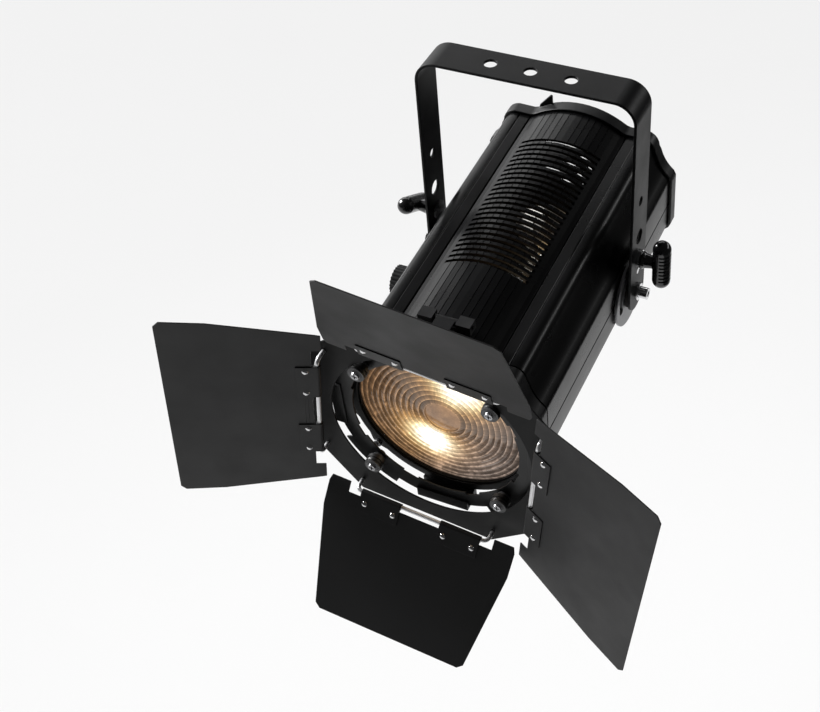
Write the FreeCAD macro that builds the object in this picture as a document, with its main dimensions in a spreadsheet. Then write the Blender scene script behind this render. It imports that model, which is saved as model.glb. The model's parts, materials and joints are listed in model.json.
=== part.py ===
"""Fresnel spotlight with yoke, rotating barndoor and four leaves.

Millimetres. The origin is the centre hole of the yoke's top bar, on its upper face, with +Z up.
The lamp's own frame has its origin on the tilt axis: X across, -Y forward along the beam, Z up.
"""
import FreeCAD, Part
import math
import os
import Sketcher

V = FreeCAD.Vector
Rot = FreeCAD.Rotation
Place = FreeCAD.Placement
X, Y, Z = V(1, 0, 0), V(0, 1, 0), V(0, 0, 1)

os.makedirs("parts", exist_ok=True)
doc = FreeCAD.newDocument("fresnel_spotlight")

# ---------------------------------------------------------------- driving dimensions
DIMS = {
    # yoke: a bent flat bar
    "yoke_half_width": 97.5, "yoke_bar_width": 35.5, "yoke_thick": 2.5, "yoke_drop": 207.0,
    "yoke_bend_radius": 20.0, "yoke_hole_pitch": 35.3, "yoke_hole_dia": 11.0,
    "leg_small_hole_dia": 8.5, "leg_large_hole_dia": 14.0,
    "clamp_height": 37.6, "leg_large_hole_height": 62.8, "leg_small_hole_height": 101.1,
    # tilt
    "rest_tilt": 3.0, "disc_radius": 34.0, "disc_thick": 2.5, "disc_face": 91.6,
    "slot_mean_radius": 23.6, "slot_width": 7.0, "bush_flange_dia": 16.0,
    "disc_screw_radius": 12.0,
    # lamp housing, an extrusion with this half section
    "case_back": -118.9, "case_front": 182.0, "case_wall": 2.6,
    "crest_height": 90.0, "dome_half_width": 37.0, "dome_edge_height": 79.5,
    "dip_half_width": 46.5, "dip_height": 75.0, "shoulder_height": 76.0,
    "seam_groove_half": 0.9, "seam_groove_depth": 1.3, "rail_groove_across": 57.2,
    "flat_half_width": 88.0, "flat_top": 34.0, "flat_bottom": -17.0,
    "port_upper_across": 64.6, "port_upper_height": 69.0, "port_lower_across": 65.0,
    "port_lower_height": -52.2, "port_radius": 3.9,
    "groove_height": 7.0, "groove_width": 1.6, "groove_depth": 1.2,
    "vent_count": 25.0, "vent_first": 67.5, "vent_pitch": 6.85, "vent_length": 3.4,
    "cap_back": -122.0, "cap_lip": 9.0, "cap_grow": 2.6,
    # optics
    "lens_radius": 75.0, "lens_height": 4.3, "lens_face": 198.5, "lens_ring_count": 11.0,
    "lens_centre_radius": 16.0, "nose_radius": 84.0, "nose_front": 202.0, "frame_front": 200.0,
    "parting_width": 1.0, "parting_depth": 0.8,
    # accessory ring and barndoor
    "ring_face": 213.5, "ring_thick": 1.5, "ring_outer": 92.0, "ring_inner": 75.4,
    "lobe_radius": 99.0, "lobe_half_angle": 18.0, "latch_forward": 172.5, "latch_height": 95.5,
    "tab_reach": 92.0, "tab_width": 48.0, "roller_pitch_radius": 82.8, "roller_radius": 7.8,
    "roller_washer_radius": 7.4,
    "door_turn": 7.15, "door_face": 222.7, "door_thick": 1.5, "door_half_width": 108.0,
    "door_chamfer_sum": 170.0, "door_opening": 90.1, "rod_offset": 95.6, "rod_stand": 11.8,
    "rod_dia": 3.6, "rod_half_length": 74.0, "leaf_thick": 1.0, "leaf_reach": 125.0,
    "narrow_root": 88.0, "narrow_bend": 88.0, "narrow_bend_reach": 24.0, "narrow_tip": 73.0,
    "wide_root": 95.0, "wide_bend": 110.0, "wide_bend_reach": 85.0, "wide_tip": 112.0,
    "top_open": 20.0, "bottom_open": 31.0, "left_open": 27.0, "right_open": 26.0,
    "strap_width": 38.0, "strap_centre": 37.5, "rivet_spacing": 27.0,
    "rivet_reach": 9.6,
    # focus drive
    "knob_forward": 68.0, "knob_height": 8.0, "knob_radius": 14.5, "gear_pitch_radius": 12.0,
    "gear_teeth": 16.0, "rack_teeth": 23.0, "rack_centre": -68.0, "carriage_forward": -20.0,
    "rail_spread": 36.0,
    "rail_height": -48.0, "rail_dia": 8.0,
}
sheet = doc.addObject("Spreadsheet::Sheet", "dims")
for line_number, (alias, value) in enumerate(DIMS.items(), start=1):
    sheet.set(f"A{line_number}", alias)
    sheet.set(f"B{line_number}", str(value))
    sheet.setAlias(f"B{line_number}", alias)
doc.recompute()


def dim(alias):
    """A driving dimension, read back from the sheet."""
    return float(sheet.get(alias))


# ---------------------------------------------------------------- frames
LAMP = Place(V(0, 0, -dim("yoke_drop")), Rot(X, dim("rest_tilt")))
OPTIC = LAMP.multiply(Place(V(0, 0, dim("lens_height")), Rot()))
DOOR = OPTIC.multiply(Place(V(0, 0, 0), Rot(Y, dim("door_turn"))))
YOKE = Place(V(0, 0, 0), Rot())
PIVOT = Place(V(0, 0, -dim("yoke_drop")), Rot())

pieces = []


# ---------------------------------------------------------------- helpers
def plane(body, role):
    return next(f for f in body.Origin.OriginFeatures if f.Role == role)


def new_body(label, where):
    body = doc.addObject("PartDesign::Body", label)
    body.Label = label
    body.Placement = where
    pieces.append(body)
    return body


def draw(sketch, loop):
    """A closed outline of points; a triple (middle, end) pair of points makes an arc."""
    start = V(*loop[0], 0) if not isinstance(loop[0][0], tuple) else None
    first = last = start
    for item in loop[1:]:
        if isinstance(item[0], tuple):
            middle, end = V(*item[0], 0), V(*item[1], 0)
            sketch.addGeometry(Part.Arc(last, middle, end), False)
        else:
            end = V(*item, 0)
            if end.distanceToPoint(last) > 1e-6:
                sketch.addGeometry(Part.LineSegment(last, end), False)
        last = end
    if last.distanceToPoint(first) > 1e-6:
        sketch.addGeometry(Part.LineSegment(last, first), False)


def new_sketch(body, role, loops=(), circles=(), offset=0.0):
    """Outlines and circles on one of the body's own planes, moved off it by offset."""
    sketch = body.newObject("Sketcher::SketchObject", body.Name + "_sketch")
    sketch.AttachmentSupport = (plane(body, role), [""])
    sketch.MapMode = "FlatFace"
    sketch.AttachmentOffset = Place(V(0, 0, offset), Rot())
    for loop in loops:
        draw(sketch, loop)
    for (cx, cy), radius in circles:
        sketch.addGeometry(Part.Circle(V(cx, cy, 0), Z, radius), False)
    return sketch


def pad(body, sketch, length, both_ways=False):
    """A pad whose length is a number or an expression on the sheet."""
    feature = body.newObject("PartDesign::Pad", body.Name + "_pad")
    feature.Profile = sketch
    feature.Midplane = both_ways
    bind(feature, "Length", length)
    return feature


def pocket(body, sketch, length, both_ways=True):
    feature = body.newObject("PartDesign::Pocket", body.Name + "_pocket")
    feature.Profile = sketch
    feature.Midplane = both_ways
    bind(feature, "Length", length)
    return feature


def bind(feature, prop, value):
    if isinstance(value, str):
        feature.setExpression(prop, value)
    else:
        setattr(feature, prop, value)


def plate(label, where, role, loops, length, circles=(), offset=0.0, both_ways=False):
    """One padded outline, the commonest piece."""
    body = new_body(label, where)
    pad(body, new_sketch(body, role, loops, circles, offset), length, both_ways)
    return body


def turned(label, where, profile, axis):
    """A turned piece: the outline is spun about the sketch's H_Axis or V_Axis."""
    body = new_body(label, where)
    sketch = new_sketch(body, "XY_Plane", [profile])
    spin = body.newObject("PartDesign::Revolution", label + "_spin")
    spin.Profile = sketch
    spin.ReferenceAxis = (sketch, [axis])
    spin.Angle = 360.0
    return body


def group(label, where, shapes):
    """Several identical loose pieces kept in one node."""
    feature = doc.addObject("Part::Feature", label)
    feature.Label = label
    feature.Shape = Part.makeCompound(shapes)
    feature.Placement = where
    pieces.append(feature)
    return feature


def shape_piece(label, where, shape):
    feature = doc.addObject("Part::Feature", label)
    feature.Label = label
    feature.Shape = shape
    feature.Placement = where
    pieces.append(feature)
    return feature


def box(x0, x1, y0, y1, z0, z1):
    return Part.makeBox(x1 - x0, y1 - y0, z1 - z0, V(x0, y0, z0))


def rod(start, end, radius):
    run = V(*end) - V(*start)
    return Part.makeCylinder(radius, run.Length, V(*start), run)


def ring(loop):
    """Mirror a right-hand half outline, top to bottom, into a closed one."""
    return list(loop) + [(-x, z) for x, z in reversed(loop) if abs(x) > 1e-9]


def hex_socket(centre, direction, across, depth):
    """The prism cut for a hexagon key."""
    corner = across / math.sqrt(3.0)
    side = X if abs(direction.x) < 0.5 else Z
    up = direction.cross(side)
    points = []
    for step in range(7):
        turn = math.radians(60.0 * step)
        points.append(centre + side * (corner * math.cos(turn)) + up * (corner * math.sin(turn)))
    return Part.Face(Part.makePolygon(points)).extrude(direction * depth)


def cap_screw(base, direction, head_width, length, shank, head_height):
    """A socket-head cap screw: its head stands on base and its shank goes the other way."""
    head = Part.makeCylinder(0.85 * head_width, head_height, base, direction)
    socket = base + direction * (0.5 * head_height)
    head = head.cut(hex_socket(socket, direction, 0.8 * head_width, head_height))
    shank = Part.makeCylinder(shank, length, base, direction * -1.0)
    return head.fuse(shank).removeSplitter()


# ---------------------------------------------------------------- yoke
def make_yoke():
    """A flat bar bent into a U, with rounded leg ends about the tilt axis."""
    half, thick, drop = dim("yoke_half_width"), dim("yoke_thick"), dim("yoke_drop")
    bend, wide = dim("yoke_bend_radius"), dim("yoke_bar_width")
    inner, end = half - thick, -drop - wide / 2.0
    bow = bend * (1.0 - math.sqrt(0.5))
    inner_bend = bend - thick
    inner_bow = inner_bend * (1.0 - math.sqrt(0.5))
    outline = [
        (half, end), (half, -bend), ((half - bow, -bow), (half - bend, 0)), (-half + bend, 0),
        ((-half + bow, -bow), (-half, -bend)), (-half, end), (-inner, end), (-inner, -bend),
        ((-inner + inner_bow, -thick - inner_bow), (-inner + inner_bend, -thick)),
        (inner - inner_bend, -thick), ((inner - inner_bow, -thick - inner_bow), (inner, -bend)),
        (inner, end),
    ]
    body = plate("yoke", YOKE, "XZ_Plane", [outline], "dims.yoke_bar_width", both_ways=True)
    pitch, hole = dim("yoke_hole_pitch"), dim("yoke_hole_dia") / 2.0
    bar_holes = new_sketch(body, "XY_Plane", (), [((step * pitch, 0), hole) for step in (-1, 0, 1)])
    pocket(body, bar_holes, "4 * dims.yoke_thick")
    leg_holes = [
        ((0, -drop), dim("bush_flange_dia") / 2.0 - 2.0),
        ((0, -drop + dim("clamp_height")), 3.1),
        ((0, -drop + dim("leg_large_hole_height")), dim("leg_large_hole_dia") / 2.0),
        ((0, -drop + dim("leg_small_hole_height")), dim("leg_small_hole_dia") / 2.0),
        ((0, -drop + dim("slot_mean_radius")), 2.5),
    ]
    pocket(body, new_sketch(body, "YZ_Plane", (), leg_holes), "3 * dims.yoke_half_width")
    radius, over = wide / 2.0, wide / 2.0 + 2.0
    for side in (-1, 1):
        corner = [
            (side * over, -drop), (side * radius, -drop),
            ((side * radius * math.sqrt(0.5), -drop - radius * math.sqrt(0.5)), (0, -drop - radius)),
            (0, -drop - over), (side * over, -drop - over),
        ]
        pocket(body, new_sketch(body, "YZ_Plane", [corner]), "3 * dims.yoke_half_width")


def make_tilt_joint():
    """On each side of the case: slotted disc, friction pad, flanged bush and pivot bolt."""
    leg_in = dim("yoke_half_width") - dim("yoke_thick")
    leg_out = dim("yoke_half_width")
    face = dim("disc_face")
    bushes, pads, bolts = [], [], []
    for side in (-1, 1):
        out = V(side, 0, 0)
        bore = Part.makeCylinder(3.06, 30, out * (leg_in - 20), out)
        sleeve = Part.makeCylinder(5.0, leg_out - face - 0.3, out * (face + 0.3), out)
        flange = Part.makeCylinder(dim("bush_flange_dia") / 2.0, 2.5, out * leg_out, out)
        core = Part.makeCylinder(6.0, leg_out - leg_in, out * leg_in, out)
        bushes.append(sleeve.fuse(flange).fuse(core).removeSplitter().cut(bore))
        liner = Part.makeCylinder(16.0, leg_in - face - 0.3, out * (face + 0.3), out)
        liner = liner.cut(Part.makeCylinder(5.0, 30, out * (face - 10), out))
        pads.append(liner)
        bolts.append(cap_screw(out * (leg_out + 2.8), out, 6.2, leg_out - 80.0, 3.0, 7.6))
    group("pivot_bushes", PIVOT, bushes)
    group("friction_pads", PIVOT, pads)
    group("pivot_bolts", PIVOT, bolts)
    for name, side in (("left", -1), ("right", 1)):
        make_disc(name, side)


def make_disc(name, side):
    """The friction disc with its arc slot, which runs from behind the pivot to below its front."""
    body = new_body("tilt_disc_" + name, LAMP)
    inner = dim("disc_face") - dim("disc_thick")
    rim = new_sketch(body, "YZ_Plane", (), [((0, 0), dim("disc_radius"))], side * inner)
    flat = pad(body, rim, "dims.disc_thick")
    flat.Reversed = side < 0
    hub = new_sketch(body, "YZ_Plane", (), [((0, 0), 15.0)], side * dim("flat_half_width"))
    seat = pad(body, hub, inner - dim("flat_half_width") + 0.5)
    seat.Reversed = side < 0
    doc.recompute()
    middle, half = dim("slot_mean_radius"), dim("slot_width") / 2.0
    low, high = math.radians(-12.0), math.radians(195.0)

    def at(radius, angle):
        return (radius * math.cos(angle), radius * math.sin(angle))

    mid = (low + high) / 2.0
    slot = [
        at(middle + half, low), (at(middle + half, mid), at(middle + half, high)),
        (at(middle, high + half / middle), at(middle - half, high)),
        (at(middle - half, mid), at(middle - half, low)),
        (at(middle, low - half / middle), at(middle + half, low)),
    ]
    pocket(body, new_sketch(body, "YZ_Plane", [slot]), "3 * dims.yoke_half_width")
    holes = [((0, 0), 3.3)] + [(spot, 1.6) for spot in screw_spots()]
    pocket(body, new_sketch(body, "YZ_Plane", (), holes), "3 * dims.yoke_half_width")
    heads = [(spot, 2.8) for spot in screw_spots()]
    pocket(body, new_sketch(body, "YZ_Plane", (), heads, side * dim("disc_face")), 2.4)


def screw_spots():
    """The four disc screws, as (y, z) about the tilt axis."""
    radius = dim("disc_screw_radius")
    angles = [math.radians(45.0 + 90.0 * step) for step in range(4)]
    return [(radius * math.cos(a), radius * math.sin(a)) for a in angles]


def make_disc_screws():
    """Four small screws, sunk in the disc's face, hold each disc to the case."""
    screws = []
    for side in (-1, 1):
        out = V(side, 0, 0)
        for y, z in screw_spots():
            top = out * (dim("disc_face") - 0.1) + V(0, y, z)
            head = Part.makeCylinder(2.7, 1.0, top, out * -1.0)
            shank = Part.makeCylinder(1.5, 12.0, top, out * -1.0)
            screws.append(head.fuse(shank).removeSplitter())
    group("disc_screws", LAMP, screws)


def make_clamps():
    """A T-handle on each leg: its stud runs through a boss and presses a shoe on the disc."""
    leg_in = dim("yoke_half_width") - dim("yoke_thick")
    leg_out = dim("yoke_half_width")
    face = dim("disc_face")
    high = V(0, 0, dim("clamp_height"))
    bosses, pins, shoes = [], [], []
    stop = V(0, 0, dim("slot_mean_radius"))
    for side in (-1, 1):
        out = V(side, 0, 0)
        boss = Part.makeCylinder(8.5, 2.6, out * leg_out + high, out)
        boss = boss.cut(Part.makeCylinder(3.1, 5.0, out * (leg_out - 1) + high, out))
        bosses.append(boss)
        pin = Part.makeCylinder(2.5, leg_out - face + 2.0, out * (face - 2.0) + stop, out)
        pins.append(pin)
        shoe = Part.makeCylinder(9.0, leg_in - face - 1.3, out * (face + 0.3) + high, out)
        shoes.append(shoe)
    group("leg_bosses_and_stop_pins", PIVOT, bosses + pins)
    group("clamp_shoes", PIVOT, shoes)
    for name, side, lean in (("left", -1, 60.0), ("right", 1, 3.0)):
        where = PIVOT.multiply(Place(high, Rot(X, lean)))
        make_clamp_handle(name, side, where, leg_out, leg_in)


def make_clamp_handle(name, side, where, leg_out, leg_in):
    start = leg_out + 2.9
    profile = [
        (side * (leg_in - 0.7), 0), (side * (leg_in - 0.7), 3.0), (side * start, 3.0),
        (side * start, 7.6), (side * (start + 1.6), 8.2), (side * (start + 3.0), 7.4),
        (side * (start + 4.0), 6.6), (side * (start + 10.0), 5.6), (side * (start + 11.0), 5.6),
        (side * (start + 11.0), 0),
    ]
    turned("clamp_stem_" + name, where, profile, "H_Axis")
    centre, radius, half = side * 118.5, 8.0, 25.5
    bar = Part.makeCylinder(radius, 2 * (half - radius), V(centre, 0, radius - half), Z)
    for end in (-1, 1):
        bar = bar.fuse(Part.makeSphere(radius, V(centre, 0, end * (half - radius))))
    near, far = sorted((centre, centre + side * 2.0 * radius))
    for step in range(8):
        height = (step - 3.5) * 4.0
        groove = Part.makeCylinder(2.0 * radius, 1.8, V(centre, 0, height - 0.9), Z)
        groove = groove.cut(Part.makeCylinder(radius - 1.1, 1.8, V(centre, 0, height - 0.9), Z))
        bar = bar.cut(groove.common(box(near, far, -30, 30, -30, 30)))
    bore = rod((side * (leg_out), 0, 0), (side * (start + 11.05), 0, 0), 5.65)
    shape_piece("clamp_grip_" + name, where, bar.removeSplitter().cut(bore))


make_yoke()
make_tilt_joint()
make_disc_screws()
make_clamps()


# ---------------------------------------------------------------- case outline
def dome_radius():
    half, rise = dim("dome_half_width"), dim("crest_height") - dim("dome_edge_height")
    return (half * half + rise * rise) / (2.0 * rise)


def dome_point(across):
    radius = dome_radius()
    return (across, dim("crest_height") - radius + math.sqrt(radius * radius - across * across))


def dome_half():
    """The dome from its crest to the dip at the seam, without its fine grooves."""
    half = dim("dome_half_width")
    return [dome_point(half * step / 6.0) for step in range(7)] + [
        (half + 5.0, dim("dip_height") + 1.4), (dim("dip_half_width"), dim("dip_height"))]


def curve(start, bulge, end, count):
    """Points on a quadratic curve between start and end, pulled towards bulge."""
    points = []
    for step in range(count + 1):
        t = step / count
        a, b, c = (1 - t) ** 2, 2 * t * (1 - t), t * t
        points.append(tuple(a * p + b * q + c * r for p, q, r in zip(start, bulge, end)))
    return points


def side_half():
    """From the dip over the shoulder, down the hollow flank and the flat, to the lower seam."""
    flat, top, low = dim("flat_half_width"), dim("flat_top"), dim("flat_bottom")
    shoulder = [(dim("dip_half_width"), dim("dip_height"))]
    shoulder += curve((62.0, dim("shoulder_height") - 0.6), (71.0, 74.0), (72.0, 63.0), 5)
    flank = curve((73.5, 60.0), (77.0, 46.0), (flat - 1.5, top + 3.5), 5)
    lower = curve((flat - 1.5, low - 3.5), (77.0, -28.0), (73.0, -42.0), 4)
    foot = curve((72.0, -46.0), (71.0, -57.0), (62.0, -59.0), 4)
    return shoulder + flank + [(flat, top), (flat, low)] + lower + foot


def floor_half():
    """The shallow lower shell, from the lower seam to its middle."""
    return curve((62.0, -59.0), (34.0, -72.0), (0.0, -74.0), 6)


def half_outline():
    return dome_half() + side_half()[1:] + floor_half()[1:]


def offset(points, distance, closed=False):
    """Move an outline sideways by distance, to the left of its direction of travel."""
    result = []
    count = len(points)
    for index, (x, z) in enumerate(points):
        before = points[index - 1] if index or closed else None
        after = points[(index + 1) % count] if index < count - 1 or closed else None
        normals = []
        for a, b in ((before, (x, z)), ((x, z), after)):
            if a is not None and b is not None:
                run = math.hypot(b[0] - a[0], b[1] - a[1])
                normals.append((-(b[1] - a[1]) / run, (b[0] - a[0]) / run))
        nx = sum(n[0] for n in normals) / len(normals)
        nz = sum(n[1] for n in normals) / len(normals)
        size = nx * nx + nz * nz
        result.append((x + distance * nx / size, z + distance * nz / size))
    return result


def grown(distance):
    """The whole case outline, grown outwards by distance."""
    return offset(ring(half_outline()), distance, closed=True)


def mirrored(points):
    return [(-x, z) for x, z in points]


# ---------------------------------------------------------------- case
def forward_plate(label, loops, back, front, circles=()):
    """A plate square to the beam, between two distances forward of the tilt axis."""
    body = new_body(label, LAMP)
    pad(body, new_sketch(body, "XZ_Plane", loops, circles, back), front - back)
    return body


def forward_pocket(body, loops, back, front, circles=()):
    sketch = new_sketch(body, "XZ_Plane", loops, circles, (back + front) / 2.0)
    return pocket(body, sketch, front - back)


def seam_groove(side):
    """The outline down one side of the groove between dome and side: its lip and its floor."""
    across, height, half = dim("dip_half_width"), dim("dip_height"), dim("seam_groove_half")
    return [(across + side * half, height + 0.1), (across, height - dim("seam_groove_depth"))]


def make_case_top():
    """The ribbed dome, with a fine groove between its strips and a block of vents across it."""
    wall, half = dim("case_wall"), dim("dome_half_width")
    strips, notch = 6, 0.4
    outer = []
    for step in range(strips + 1):
        across = half * step / strips
        x, z = dome_point(across)
        if 0 < step < strips:
            outer += [dome_point(across - notch), (x, z - 0.8), dome_point(across + notch)]
        else:
            outer.append((x, z))
    edge = [(half + 5.0, dim("dip_height") + 1.4), (dim("dip_half_width"), dim("dip_height"))]
    path = outer + [edge[0]] + seam_groove(-1)
    plain = [dome_point(half * step / strips) for step in range(strips + 1)] + edge
    inside = offset(plain, -wall)
    inside[-1] = (dim("dip_half_width"), inside[-1][1])
    outline = path + inside[::-1]
    outline = outline + [(-x, z) for x, z in (inside + path[::-1]) if x > 1e-6]
    body = forward_plate("case_top", [outline], dim("case_back"), dim("case_front"))
    count, pitch = int(dim("vent_count")), dim("vent_pitch")
    half_slot = dim("vent_length") / 2.0
    reach = half + 0.6
    vents = []
    for step in range(count):
        middle = dim("vent_first") - step * pitch
        vents.append([(-reach, middle - half_slot), (reach, middle - half_slot),
                      (reach, middle + half_slot), (-reach, middle + half_slot)])
    pocket(body, new_sketch(body, "XY_Plane", vents, (), 100.0), 2.0 * (100.0 - 77.9))


def port_spots(*sides):
    """The screw ports along the side extrusions, as (across, height)."""
    upper = (dim("port_upper_across"), dim("port_upper_height"))
    lower = (dim("port_lower_across"), dim("port_lower_height"))
    return [(side * x, z) for side in sides for x, z in (upper, lower)]


def make_case_side(name, side):
    """A side extrusion: rail, hollow flank, flat with one groove, and two screw ports."""
    outer = side_half()
    inside = offset(outer, -dim("case_wall"))
    inside[0] = (outer[0][0], inside[0][1])
    inside[-1] = (outer[-1][0], inside[-1][1])
    deep, wide, mid = dim("groove_depth"), dim("groove_width") / 2.0, dim("groove_height")
    flat = dim("flat_half_width")
    index = outer.index((flat, dim("flat_bottom")))
    notch = [(flat, mid + wide), (flat - deep, mid + wide / 2), (flat - deep, mid - wide / 2),
             (flat, mid - wide)]
    along, half = dim("rail_groove_across"), dim("seam_groove_half")
    rise = (outer[1][1] - outer[0][1]) / (outer[1][0] - outer[0][0])
    level = outer[0][1] + rise * (along - outer[0][0])
    rail = [(along - half, level), (along, level - 1.0), (along + half, level)]
    seam = seam_groove(1)[::-1]
    outline = seam + rail + outer[1:index] + notch + outer[index:] + inside[::-1]
    if side < 0:
        outline = mirrored(outline)
    body = forward_plate("case_side_" + name, [outline], dim("case_back"), dim("case_front"))
    for spot in port_spots(side):
        sketch = new_sketch(body, "XZ_Plane", (), [(spot, dim("port_radius"))], dim("case_back"))
        pad(body, sketch, dim("case_front") - dim("case_back"))
    doc.recompute()
    bores = [(spot, 1.7) for spot in port_spots(side)]
    pocket(body, new_sketch(body, "XZ_Plane", (), bores), "4 * dims.case_front")
    # the flat takes the pivot bolt and the disc's screws; the left one also the focus shaft
    holes = [((0, 0), 3.3)]
    holes += [(spot, 1.5) for spot in screw_spots()]
    if side < 0:
        holes.append(((-dim("knob_forward"), dim("knob_height")), 6.0))
    sketch = new_sketch(body, "YZ_Plane", (), holes, side * flat)
    pocket(body, sketch, 12.0)


def make_case_bottom():
    outer = floor_half()
    inside = offset(outer, -dim("case_wall"))
    inside[0] = (outer[0][0], inside[0][1])
    inside[-1] = (0.0, inside[-1][1])
    outline = outer + [(-x, z) for x, z in outer[-2::-1]]
    outline += [(-x, z) for x, z in inside] + inside[-2::-1]
    body = forward_plate("case_bottom", [outline], dim("case_back"), dim("case_front"))
    vents = []
    for row in (-1, 1):
        for step in range(14):
            middle = 70.0 - 11.0 * step
            near, far = sorted((row * 10.0, row * 44.0))
            vents.append([(near, middle - 2), (far, middle - 2), (far, middle + 2),
                          (near, middle + 2)])
    pocket(body, new_sketch(body, "XY_Plane", vents, (), -80.0), 40.0)


def make_rear_cap():
    """A lipped cover over the back, with a small horn, louvres and a hole for the cable gland."""
    back, grow = dim("cap_back"), dim("cap_grow")
    body = forward_plate("rear_cap", [grown(grow)], back, back + 3.0 + dim("cap_lip"))
    forward_pocket(body, [grown(0.1)], back + 3.0, back + 40.0)
    doc.recompute()
    horn = [(-42.0, 76.0), (-41.0, 83.0), (-30.5, 95.6), (-28.6, 95.0), (-28.4, 80.0)]
    pad(body, new_sketch(body, "XZ_Plane", [horn], (), back), 3.0)
    doc.recompute()
    louvres = []
    for step in range(6):
        height = 52.0 - 11.0 * step
        louvres.append([(-38.0, height - 2), (38.0, height - 2), (38.0, height + 2),
                        (-38.0, height + 2)])
    holes = [((0.0, -42.0), 8.2)] + [(spot, 2.2) for spot in port_spots(-1, 1)]
    forward_pocket(body, louvres, back - 10.0, back + 10.0, holes)


def make_front_frame():
    """The front casting: a cover flush with the case, and a round nose for the lens."""
    back, front = dim("case_front"), dim("frame_front")
    step = back + dim("parting_width")
    body = forward_plate("front_frame", [grown(0.0)], step, front)
    seam = new_sketch(body, "XZ_Plane", [grown(-dim("parting_depth"))], (), back)
    pad(body, seam, step - back)
    doc.recompute()
    centre = (0.0, dim("lens_height"))
    nose = new_sketch(body, "XZ_Plane", (), [(centre, dim("nose_radius"))], front - 2.0)
    pad(body, nose, dim("nose_front") - front + 2.0)
    doc.recompute()
    # pads behind the feet of the three channels
    half, reach, low = dim("tab_width") / 2.0, dim("tab_reach") + 2.3, dim("lens_height")
    beside = [(-reach, low - half), (reach, low - half), (reach, low + half), (-reach, low + half)]
    below = [(-half, low - reach), (half, low - reach), (half, low), (-half, low)]
    for lug in (beside, below):
        pad(body, new_sketch(body, "XZ_Plane", [lug], (), front - 4.0), 4.0)
        doc.recompute()
    forward_pocket(body, (), back - 1.0, dim("nose_front") + 5.0, [(centre, 72.0)])
    forward_pocket(body, (), 191.0, 230.0, [(centre, 77.0)])
    forward_pocket(body, (), back - 5.0, front + 1.0, [(spot, 2.2) for spot in port_spots(-1, 1)])
    heads = [(spot, 4.2) for spot in port_spots(-1, 1)]
    forward_pocket(body, (), front, dim("nose_front") + 5.0, heads)


def make_case_screws():
    screws = []
    for x, z in port_spots(-1, 1):
        screws.append(cap_screw(V(x, -dim("cap_back"), z), Y, 4.2, 16.0, 1.7, 3.4))
        screws.append(cap_screw(V(x, -dim("frame_front"), z), Y * -1.0, 4.2, 24.0, 1.7, 3.4))
    group("case_screws", LAMP, screws)


make_case_top()
make_case_side("left", -1)
make_case_side("right", 1)
make_case_bottom()
make_rear_cap()
make_front_frame()
make_case_screws()


# ---------------------------------------------------------------- optics
def make_lens():
    """A Fresnel lens: flat at the back, with stepped rings round a plain centre in front."""
    face, outer = dim("lens_face"), dim("lens_radius") + 1.6
    centre, count = dim("lens_centre_radius"), int(dim("lens_ring_count"))
    step_width = (dim("lens_radius") - 1.0 - centre) / count
    back, depth = face - 7.0, 2.2
    profile = [(0, -back), (0, -face), ((centre * 0.55, -face + 0.35), (centre, -face + 1.4))]
    for index in range(count):
        inner = centre + index * step_width
        lift = depth * (0.5 + 0.5 * (index + 1) / count)
        profile.append((inner + 0.25, -face))
        bow = (inner + 0.6 * step_width, -face + 0.35 * lift)
        profile.append((bow, (inner + step_width, -face + lift)))
    rim = centre + count * step_width
    profile += [(rim + 0.3, -face + 1.6), (outer, -face + 1.6), (outer, -back)]
    turned("lens", OPTIC, profile, "V_Axis")
    lip = dim("lens_radius")
    front = face + 2.2
    profile = [(lip, -face - 0.6), (76.9, -face + 1.4), (76.9, -front), (lip + 0.5, -front)]
    turned("lens_retaining_ring", OPTIC, profile, "V_Axis")


def make_lamp():
    """The halogen lamp stands in a ceramic socket on the carriage, with a dished reflector."""
    forward, axis = dim("carriage_forward"), dim("lens_height")
    where = LAMP.multiply(Place(V(0, -forward, 0), Rot()))
    base, seat = -22.0, -37.0
    socket = box(-17, 17, -11, 11, seat, base).cut(box(-11, 11, -4, 4, base - 6, base + 1))
    shape_piece("lamp_socket", where, socket)
    foot = box(-10, 10, -3.6, 3.6, base - 5.5, base + 6).fuse(
        Part.makeCylinder(8.5, 7.0, V(0, 0, base + 5), Z))
    shape_piece("lamp_base", where, foot.removeSplitter())
    bulb = Part.makeCylinder(8.0, 44.0, V(0, 0, base + 12), Z)
    bulb = bulb.fuse(Part.makeSphere(8.0, V(0, 0, base + 56)))
    inner = Part.makeCylinder(7.0, 44.0, V(0, 0, base + 12.5), Z)
    inner = inner.fuse(Part.makeSphere(7.0, V(0, 0, base + 56)))
    shape_piece("lamp_envelope", where, bulb.removeSplitter().cut(inner.removeSplitter()))
    coils = []
    for index in range(5):
        coils.append(rod((2.2 * (index - 2), 0, axis - 7), (2.2 * (index - 2), 0, axis + 7), 0.7))
    bars = [rod((4.4 * s, 0, base + 12.6), (4.4 * s, 0, axis - 7), 0.5) for s in (-1, 1)]
    group("lamp_filament", where, coils + bars)
    bowl, rim, wall = 38.0, math.radians(62.0), 1.2

    def dish(radius, angle):
        return (radius * math.sin(angle), radius * math.cos(angle))

    outline = [dish(bowl, 0), (dish(bowl, rim / 2), dish(bowl, rim)), dish(bowl + wall, rim),
               (dish(bowl + wall, rim / 2), dish(bowl + wall, 0))]
    dished = where.multiply(Place(V(0, 0, axis), Rot()))
    turned("reflector", dished, outline, "V_Axis")


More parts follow.
